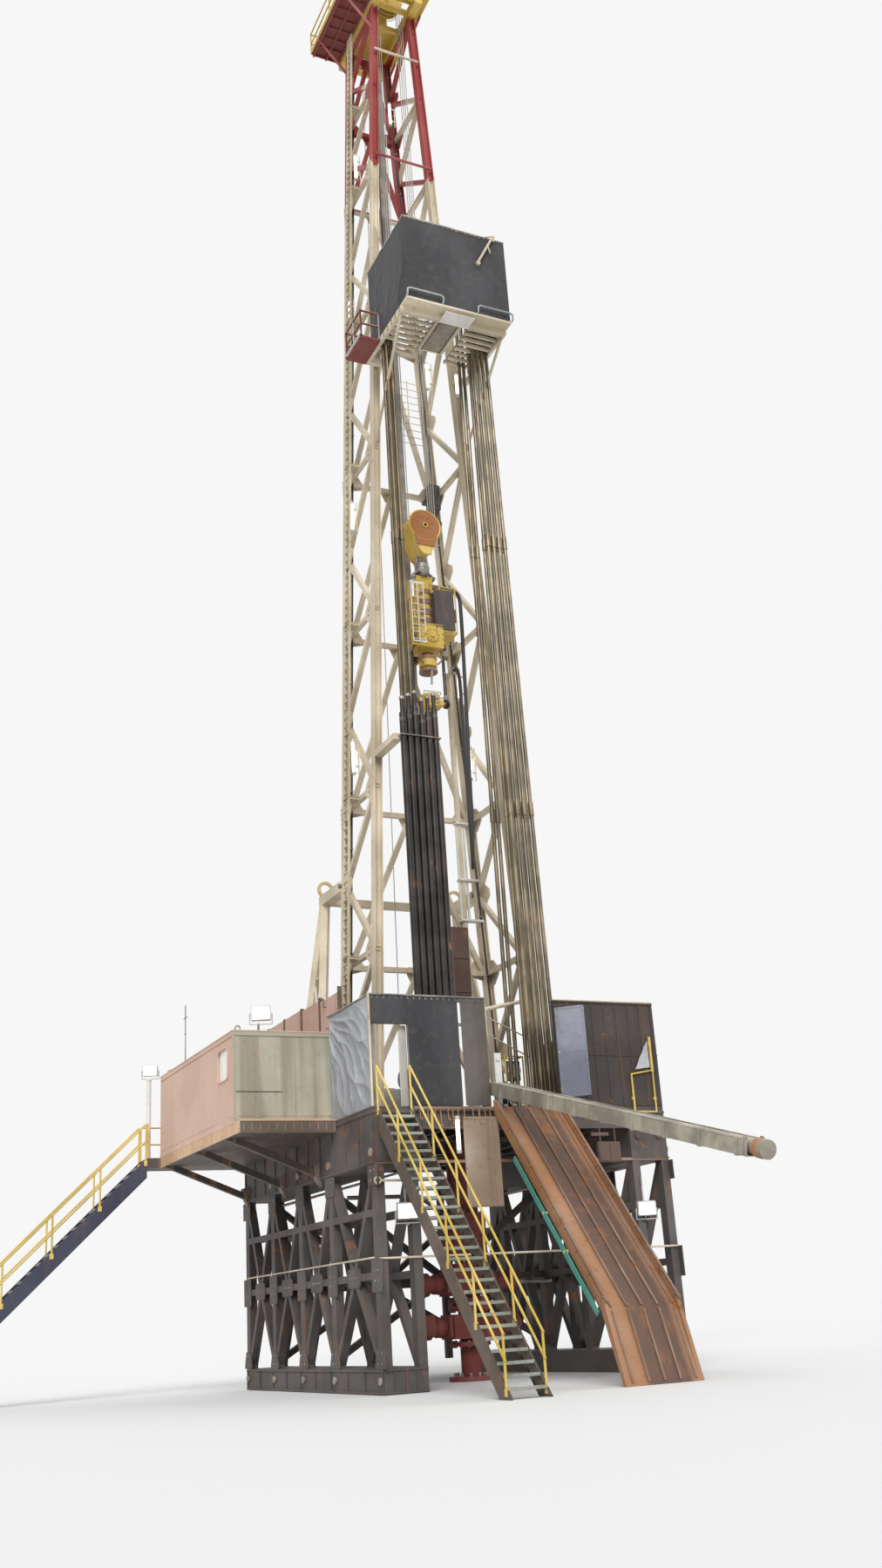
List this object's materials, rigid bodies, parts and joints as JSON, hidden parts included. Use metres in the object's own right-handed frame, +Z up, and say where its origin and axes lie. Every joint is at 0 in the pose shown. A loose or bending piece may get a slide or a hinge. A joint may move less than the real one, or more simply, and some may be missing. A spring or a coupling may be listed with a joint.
{
  "type": "oil drilling rig, 1:2 scale model",
  "caption": "Land drilling rig at half size: raised floor on steel frames, lattice mast with racking board, travelling block and top drive, doghouse, stairs, ramp and pipe trough.",
  "frame": {"origin": "centre of the well at ground level, under the wellhead's foot flange", "axes": "+Z up along the mast, -Y out of the V-door down the ramp, +X to the right seen from the ramp"},
  "size_m": [9.79, 11.6065, 26.29],
  "materials": {
    "dark_steel": "dark dusty paint with rust",
    "deck_plate": "worn dark plate",
    "worn_steel": "worn bare steel with grease",
    "red_paint": "faded red paint",
    "cream_paint": "aged cream paint with rust streaks",
    "mast_red_paint": "red paint",
    "ladder_paint": "aged cream paint",
    "grey_paint": "grey machine paint",
    "wire_rope": "greased wire rope",
    "yellow_paint": "worn yellow paint",
    "tarp": "dark coated tarpaulin",
    "grey_tarp": "grey coated tarpaulin",
    "bronze_pipe": "dark varnished pipe",
    "collar_steel": "dark greased collars",
    "brown_cabinet": "red brown paint",
    "bright_pipe": "bright worn pipe",
    "rust_paint": "faded paint with rust",
    "salmon_paint": "faded salmon paint",
    "window_glass": "clear glass",
    "blue_paint": "dark blue paint",
    "rusty_steel": "rusty worn steel",
    "brown_wall": "dark brown sheet",
    "blue_grey_paint": "blue grey sheet",
    "beige_panel": "beige screen panel",
    "hose_rubber": "black rubber hose"
  },
  "bodies": {
    "rig": {"skid_boxes": "dark_steel", "left_frame": "dark_steel", "right_frame": "dark_steel", "cross_bracing": "dark_steel", "floor_frame": "dark_steel", "drill_floor": "deck_plate", "rotary_table": "worn_steel", "wellhead": "red_paint", "mast_left_side": "cream_paint", "mast_right_side": "cream_paint", "mast_back": "cream_paint", "mast_top": "mast_red_paint", "mast_ladder": "ladder_paint", "a_frame": "cream_paint", "mast_cabinet": "brown_cabinet", "drawworks": "grey_paint", "fast_line": "wire_rope", "crown_frame": "yellow_paint", "crown_sheaves": "yellow_paint", "board_frame": "cream_paint", "board_fingers": "cream_paint", "board_walls": "tarp", "side_basket": "red_paint", "left_stands": "bronze_pipe", "right_stands": "bright_pipe", "collars": "collar_steel", "collar_rack": "cream_paint", "guide_track": "worn_steel", "drill_lines": "wire_rope", "doghouse_base": "rust_paint", "doghouse_end_walls": "cream_paint", "doghouse_side_walls": "salmon_paint", "doghouse_roof": "salmon_paint", "doghouse_window": "window_glass", "side_stair": "blue_paint", "front_stair": "yellow_paint", "ramp": "rusty_steel", "handrails": "yellow_paint", "front_wall": "tarp", "left_walls": "grey_tarp", "right_wall": "brown_wall", "hanging_panel": "beige_panel", "standpipe": "cream_paint", "mud_hose": "hose_rubber"},
    "hoist": {"travelling_block": "yellow_paint", "hook": "worn_steel", "top_drive": "yellow_paint"},
    "elevator_links": {"links": "worn_steel", "elevator": "yellow_paint"},
    "wing": {"vdoor_wing": "blue_grey_paint"},
    "trough": {"pipe_trough": "worn_steel", "trough_pipe": "bright_pipe"}
  },
  "joints": [
    {"name": "hoist_slide", "type": "slide", "parent": "rig", "child": "hoist", "axis": [0, 0, 1], "range_m": [-6.2, 7.2], "deforming": ["drill_lines", "mud_hose"]},
    {"name": "link_tilt", "type": "hinge", "parent": "hoist", "child": "elevator_links", "pos_m": [0, 0, 11.51], "axis": [-1, 0, 0], "range_deg": [-10, 22]},
    {"name": "wing_hinge", "type": "hinge", "parent": "rig", "child": "wing", "pos_m": [0.605, -2.186, 3.615], "axis": [0, 0, 1], "range_deg": [-138, 28]},
    {"name": "trough_pivot", "type": "hinge", "parent": "rig", "child": "trough", "pos_m": [-0.33, -1.98, 3.8], "axis": [-1, 0, 0], "range_deg": [-5, 18]}
  ]
}
